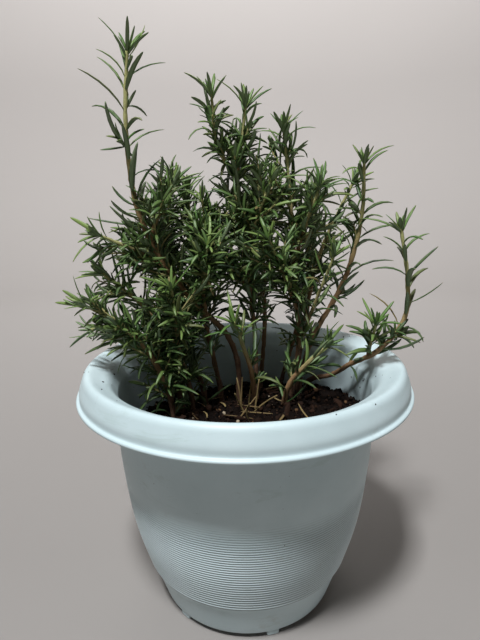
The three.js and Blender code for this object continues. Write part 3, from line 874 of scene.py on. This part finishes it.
class Leaves:
    """All the needles to be grown, kept as rows of numbers until they are skinned together."""

    def __init__(self):
        self.rows = []

    def add(self, foot, axis, out, *measures):
        """measures: length, width, lean, curl, swing, age and tint."""
        self.rows.append(np.concatenate([foot, axis, out, measures]))

    def spines(self):
        """Each needle's centre line: it leaves the stem at its lean angle and turns outward by curl
        times the share of its length to the power 0.75, in the plane of the stem's axis and its own
        outward way, and swings a little out of that plane. Also gives each section's way, the way
        its upper face looks, and the needle's width, age and tint."""
        table = np.array(self.rows)
        foot, axis, out = table[:, 0:3], unit(table[:, 3:6]), unit(table[:, 6:9])
        length, width, lean, curl, swing, age, tint = table[:, 9:].T
        third = np.cross(axis, out)
        fine = np.linspace(0, 1, SPINE_STEPS + 1)
        angle = lean[:, None] + curl[:, None] * fine ** 0.75
        turn = swing[:, None] * fine
        ways = (np.cos(angle)[..., None] * axis[:, None] + np.sin(angle)[..., None] * out[:, None]
                + np.sin(turn)[..., None] * third[:, None])
        ways = unit(ways)
        steps = ways * (length / SPINE_STEPS)[:, None, None]
        line = foot[:, None] + np.cumsum(steps, axis=1) - steps[:, :1]
        pick = np.round(ROWS * SPINE_STEPS).astype(int)
        ways, line, angle = ways[:, pick], line[:, pick], angle[:, pick]
        face = np.sin(angle)[..., None] * axis[:, None] - np.cos(angle)[..., None] * out[:, None]
        face = unit(face - ways * (face * ways).sum(-1, keepdims=True))
        return line, ways, face, width, age, tint

    def skin(self):
        """The six-cornered section carried along each spine, and the facts that the leaf paint
        reads."""
        line, ways, face, width, age, tint = self.spines()
        wide = np.cross(ways, face)
        half = (width / 2)[:, None] * BREADTH
        rings = (line[:, :, None] + wide[:, :, None] * (half[..., None] * SECTION_ACROSS)[..., None]
                 + face[:, :, None] * (half[..., None] * SECTION_RISE)[..., None])
        shape = rings.shape[:3]
        facts = {"across": spread(np.broadcast_to(SECTION_ACROSS * 0.5 + 0.5, shape)),
                 "along": spread(np.broadcast_to(ROWS[:, None], shape)),
                 "underside": spread(np.broadcast_to(UNDERSIDE, shape)),
                 "age": spread(np.broadcast_to(age[:, None, None], shape)),
                 "tint": spread(np.broadcast_to(tint[:, None, None], shape))}
        return (*loft(rings), facts)


BARE_TOP = 186 * MM
BARE_GAP = 2.6 * MM
BARE_STEM = smooth_path(centreline("left_leader"), 2 * MM)
BARE_STEM = BARE_STEM[BARE_STEM[:, 2] < BARE_TOP]


def hides_bare_stem(point):
    """Whether a point lies within BARE_GAP of the lines from the eye to the lower part of the
    tallest stem, which is kept in view."""
    ways = EYE - BARE_STEM
    share = np.clip(((point - BARE_STEM) * ways).sum(-1) / (ways * ways).sum(-1), 0.02, 0.9)
    return np.linalg.norm(BARE_STEM + ways * share[:, None] - point, axis=1).min() < BARE_GAP


def clear_of_pot(foot, tip_way, length):
    """Whether a needle from foot stays inside the pot's mouth and over the mix, or clear outside,
    and off the lines of sight to the bare stem."""
    tip = foot + tip_way * length
    middle = foot + tip_way * length * 0.55
    for point in (middle, tip):
        if hides_bare_stem(point):
            return False
        radius = math.hypot(point[0], point[1])
        if point[2] < UNDER_RIM and radius > inner_radius(point[2]) - 1.0 * MM:
            return False
        if point[2] < OVER_RIM and RIM_BAND[0] < radius < RIM_BAND[1]:
            return False
        if radius < MIX_REACH and point[2] < mix_height(*point[:2]) + 0.5 * MM:
            return False
    return True


def bushiness(point):
    """How thickly the plant is grown at a point: 1 in its middle, falling off upward and outward,
    and over the bare mix at the front right."""
    x, _, z = point
    top = np.interp(x, [-48 * MM, -28 * MM, 30 * MM, 50 * MM], [0.206, 0.246, 0.246, 0.22])
    high = np.clip((top - z) / (48 * MM), 0.0, 1.0)
    wide = np.clip((60 * MM - abs(x + 12 * MM)) / (26 * MM), 0.0, 1.0)
    low = np.clip((z - np.interp(x, [-26 * MM, -12 * MM], [0.088, 0.126])) / (22 * MM), 0.12, 1.0)
    return 0.16 + 0.84 * high * wide * low


def bend(random, young):
    """A needle's lean at its foot and its further turn outward, in radians: most arch out and over,
    one in five stands out first and turns back up."""
    if random.uniform() < 0.2:
        return math.radians(random.normal(60 - 20 * young, 8)), math.radians(random.normal(-30, 12))
    lean = math.radians(random.normal(25 - 8 * young, 11))
    return lean, math.radians(random.normal(74 - 20 * young, 24))


def grow(stem, leaves):
    """Opposite pairs up the stem, each pair turned 90 degrees and a little from the last. Lower and
    middle needles are long and arch outward, those by the tip are shorter. Where the plant is
    bushy, axils carry short shoots of smaller needles, whose stalks are returned."""
    random = stem.random
    shoots = []
    twig = stem.parent is not None
    length = stem.leafy
    turn = random.uniform(0, np.pi)
    vigour = random.uniform(0.9, 1.12)
    while length < stem.total - 1.2 * MM:
        share = (length - stem.leafy) / max(stem.total - stem.leafy, 1e-6)
        left = stem.total - length
        here = stem.at(length, stem.path)
        axis = unit(stem.at(length, stem.ahead))
        across, side = unit(stem.at(length, stem.across)), unit(stem.at(length, stem.side))
        radius = np.interp(length, stem.along, stem.radius)
        young = np.clip(1 - left / (YOUNG_REACH * MM), 0, 1)
        thick = bushiness(here)
        sparse = 0.3 if (share < 0.1 and not twig) else 0.05 + 0.1 * (1 - thick)
        for k in range(2):
            angle = turn + k * np.pi + random.normal(0, 0.18)
            out = across * math.cos(angle) + side * math.sin(angle)
            if left > PLAIN_TIP * MM and random.uniform() < SHOOT_ODDS[0] + SHOOT_ODDS[1] * thick:
                shoots += grow_shoot(leaves, here, axis, out, thick, random)
            if random.uniform() < sparse:
                continue
            long = random.uniform(*TWIG_NEEDLE_LENGTHS) if twig else random.triangular(*NEEDLE_LENGTHS)
            long = long * vigour * MM
            long *= (0.8 + 0.2 * min(share / 0.2, 1)) * (1 - 0.42 * young ** 1.3)
            lean, curl = bend(random, young)
            swing = random.normal(0, 0.3)
            width = random.uniform(*NEEDLE_WIDTHS) * MM * (1 - 0.25 * young)
            age = float(np.clip(young * 0.75 + 0.12 * share + random.normal(0.03, 0.1), 0, 1))
            foot = here + out * radius * 0.5
            end_way = unit(axis * math.cos(lean + 0.6 * curl) + out * math.sin(lean + 0.6 * curl))
            if clear_of_pot(foot, end_way, long):
                tint = random.uniform(0, 1)
                leaves.add(foot, axis, out, long, width, lean, curl, swing, age, tint)
        turn += np.pi / 2 + random.normal(0.05, 0.14)
        gap = PAIR_GAP + THIN_GAP * (1 - thick) - YOUNG_GAP * young
        length += gap * random.uniform(0.7, 1.3) * MM
    tip, axis = stem.path[-1], stem.ahead[-1]
    for k in range(TUFT):
        angle = turn + k * GOLDEN_TURN + random.normal(0, 0.2)
        out = stem.across[-1] * math.cos(angle) + stem.side[-1] * math.sin(angle)
        low = k / (TUFT - 1)
        leaves.add(tip - axis * 1.4 * MM * (0.4 + low), axis, out,
                   (6 + 11 * low) * random.uniform(0.8, 1.2) * MM,
                   random.uniform(*SHOOT_NEEDLE_WIDTHS) * MM,
                   math.radians(random.uniform(6, 18) + 16 * low),
                   math.radians(random.uniform(-8, 22) + 40 * low),
                   random.normal(0, 0.25), random.uniform(0.45, 0.95), random.uniform(0, 0.9))
    return shoots


def grow_shoot(leaves, here, axis, out, thick, random):
    """A side shoot in a leaf axil: pairs of small needles, and the (path, radii) of a thin straight
    stalk. None grows low down over the rim."""
    long = random.uniform(2, 5 + 20 * thick) * MM
    way = unit(axis + out * random.uniform(0.4, 0.95))
    tip = here + way * long
    radius = math.hypot(tip[0], tip[1])
    if tip[2] < 130 * MM and radius > 53 * MM:
        return []
    side = unit(np.cross(way, axis + 0.01))
    other = np.cross(way, side)
    turn = random.uniform(0, np.pi)
    pairs = 2 + int(long / (SHOOT_GAP * MM))
    for pair in range(pairs):
        share = (pair + 0.6) / pairs
        for k in range(2):
            angle = turn + k * np.pi + random.normal(0, 0.25)
            leaf_out = side * math.cos(angle) + other * math.sin(angle)
            size = random.triangular(*SHOOT_NEEDLE_LENGTHS) * (1.08 - 0.4 * share) * MM
            size *= 0.55 + 0.45 * thick ** 0.5
            lean, curl = bend(random, 0.3 + 0.7 * share)
            foot = here + way * long * share
            if clear_of_pot(foot, unit(way + leaf_out * 0.6), size):
                leaves.add(foot, way, leaf_out, size, random.uniform(*SHOOT_NEEDLE_WIDTHS) * MM, lean,
                           curl, random.normal(0, 0.16),
                           float(np.clip(random.normal(0.3, 0.2), 0, 1)), random.uniform(0, 0.94))
        turn += np.pi / 2
    return [(np.linspace(here, tip, 4), np.linspace(*SHOOT_RADII, 4) * MM)]


def make_plant(bark, leaf):
    """Every stem and twig grown on its packed line: one piece of bark with its side shoots' stalks,
    and one of all its needles."""
    stems = {}
    for index, node in enumerate(MAIN_STEMS):
        stems[node] = Stem(node, index)
    for index, node in enumerate(TWIG_STEMS):
        parent = stems[node[:node.index("_twig_")]]
        stems[node] = Stem(node, 40 + index, parent)
    for node, stem in stems.items():
        leaves = Leaves()
        shoots = grow(stem, leaves)
        parts = [stem_tube(stem)]
        for path, radius in shoots:
            parts.append(bark_tube(path, radius, np.full(len(path), 0.8), stem.random, 5))
        points, faces, facts = joined(parts)
        slot = "woody_stem" if stem.parent is None else "green_twig"
        finish_piece(add_piece(node + "_stem", points, faces, bark, facts), slot, node)
        points, faces, facts = leaves.skin()
        needles = add_piece(node + "_needles", points, faces, leaf, facts)
        finish_piece(needles, "leaf", node + "_leaves")


# ------------------------------------------------------------------- fallen straw and dry shoots

def make_straw(material):
    """Fallen dead needles: thin bent blades lying on the mix."""
    random = np.random.default_rng(SEED + 5)
    leaves = Leaves()
    for spot in scatter(18, MIX_RADIUS - 13 * MM, random):
        turn = random.uniform(0, 2 * np.pi)
        way = np.array([math.cos(turn), math.sin(turn), random.normal(0.0, 0.08)])
        foot = spot + [0, 0, 1.5 * MM]
        leaves.add(foot, way, np.array([0.0, 0.0, 1.0]),
                   random.uniform(8, 20) * MM, random.uniform(0.7, 1.5) * MM,
                   random.normal(0.02, 0.05), random.normal(-0.05, 0.12), random.normal(0, 0.4),
                   0, random.uniform(0, 1))
    points, faces, facts = leaves.skin()
    return finish_piece(add_piece("fallen_straw", points, faces, material, facts), "potting_mix")


def make_dry_shoots(material):
    """Thin bare shoots standing in the mix near its middle: leaning straight lines, plus a bow of
    share times (1 - share)."""
    random = np.random.default_rng(SEED + 6)
    parts = []
    for _ in range(8):
        x, y = random.uniform(-13, 9) * MM, random.uniform(-8, 12) * MM
        foot = np.array([x, y, mix_height(x, y) - 2 * MM])
        lean = np.array([random.normal(0, 0.35), random.normal(-0.1, 0.3), 1.0])
        long = random.uniform(15, 27) * MM
        bow = random.normal(0, 0.22, 3) * long
        share = np.linspace(0, 1, 12)[:, None]
        path = foot + unit(lean) * long * share + bow * share * (1 - share)
        radius = np.linspace(*SHOOT_RADII, 12) * MM
        points, faces, _ = bark_tube(path, radius, share[:, 0], random, 6)
        parts.append((points, faces, {"tint": np.full(len(points), random.uniform(0.2, 0.8))}))
    points, faces, facts = joined(parts)
    return finish_piece(add_piece("dry_shoots", points, faces, material, facts), "woody_stem")


# ------------------------------------------------------------------------ stage, camera and light

FLOOR_REACH = 1.0
COVE_RADIUS = 0.6
WALL_TOP = 2.0
COVE_SIDES = 96


def make_backdrop(material):
    """A surface of revolution that faces inward: level floor, a quarter round and a plain wall."""
    turn = np.linspace(0, np.pi / 2, 16)
    cove = np.column_stack([FLOOR_REACH + COVE_RADIUS * np.sin(turn), COVE_RADIUS * (1 - np.cos(turn))])
    wall = FLOOR_REACH + COVE_RADIUS
    line = np.vstack([[[0, 0], [0.5, 0]], cove, [[wall, 1.1], [wall, WALL_TOP]]])
    faces = around(len(line), COVE_SIDES)[:, ::-1]
    points = turned(line, COVE_SIDES).reshape(-1, 3)
    add_piece("studio_backdrop", points, [faces], material)


def area_light(name, aim, azimuth, elevation, distance, size, power, tone):
    """A square lamp that faces the point it is aimed at, from a distance away; its azimuth counts
    from the front round to the left, in degrees as its elevation."""
    aim = np.array(aim)
    left, up = math.radians(azimuth), math.radians(elevation)
    way = np.array([-math.sin(left) * math.cos(up), -math.cos(left) * math.cos(up), math.sin(up)])
    data = bpy.data.lights.new(name, "AREA")
    data.size = size
    data.energy = power
    data.color = tone
    lamp = bpy.data.objects.new(name, data)
    across = unit(np.cross([0.0, 0.0, 1.0], way))
    turn = Matrix(np.column_stack([across, np.cross(way, across), way]).tolist()).to_4x4()
    lamp.matrix_world = Matrix.Translation(aim + way * distance) @ turn
    bpy.context.scene.collection.objects.link(lamp)


def set_camera():
    """In front of the pot and above its rim, looking 13 degrees down, rolled by one degree."""
    down, roll = 0.2327, -0.0172
    ahead = np.array([0.0, math.cos(down), -math.sin(down)])
    right = np.array([1.0, 0.0, 0.0])
    up = np.cross(right, ahead)
    right, up = (math.cos(roll) * right + math.sin(roll) * up,
                 -math.sin(roll) * right + math.cos(roll) * up)
    data = bpy.data.cameras.new("view")
    data.sensor_width = 36
    data.lens = 27.06
    data.clip_start = 0.01
    camera = bpy.data.objects.new("view", data)
    turn = Matrix(np.column_stack([right, up, -ahead]).tolist()).to_4x4()
    camera.matrix_world = Matrix.Translation(EYE.tolist()) @ turn
    bpy.context.scene.collection.objects.link(camera)
    bpy.context.scene.camera = camera


def set_world():
    """A dim, warm light from all round."""
    world = bpy.data.worlds.new("soft_room")
    world.use_nodes = True
    back = world.node_tree.nodes["Background"]
    back.inputs["Color"].default_value = (1.0, 0.99, 0.94, 1.0)
    back.inputs["Strength"].default_value = 0.018
    bpy.context.scene.world = world


make_planter(mint_plastic())
make_mix(damp_mix())
loose = crumb_bark()
make_crumbs(loose)
make_chips(loose)
make_rim_dust(loose)
frame["nodes"]["root_ball"].data.materials.clear()
frame["nodes"]["root_ball"].data.materials.append(root_fibre())
make_plant(rosemary_bark(), rosemary_leaf())
straw = dry_straw()
make_straw(straw)
make_dry_shoots(straw)
make_backdrop(studio_paper())
# One high lamp makes the rim's shadow on the wall; two weak ones lift the sides, one the backdrop.
area_light("key_lamp", (0, 0, 0.12), 19, 63.5, 1.22, 0.16, 19.5, (0.97, 0.985, 1.0))
area_light("side_fill", (0, 0, 0.1), -80, 25, 1.3, 0.6, 0.2, (1.0, 0.99, 0.95))
area_light("back_fill", (0, 0, 0.14), 175, 38, 1.4, 0.8, 2.2, (1.0, 1.0, 0.98))
area_light("wall_wash", (0, 1.6, 1.45), 0, 11, 1.28, 1.2, 60.0, (0.985, 0.985, 1.0))
set_camera()
set_world()
bpy.context.scene.view_settings.view_transform = "Standard"
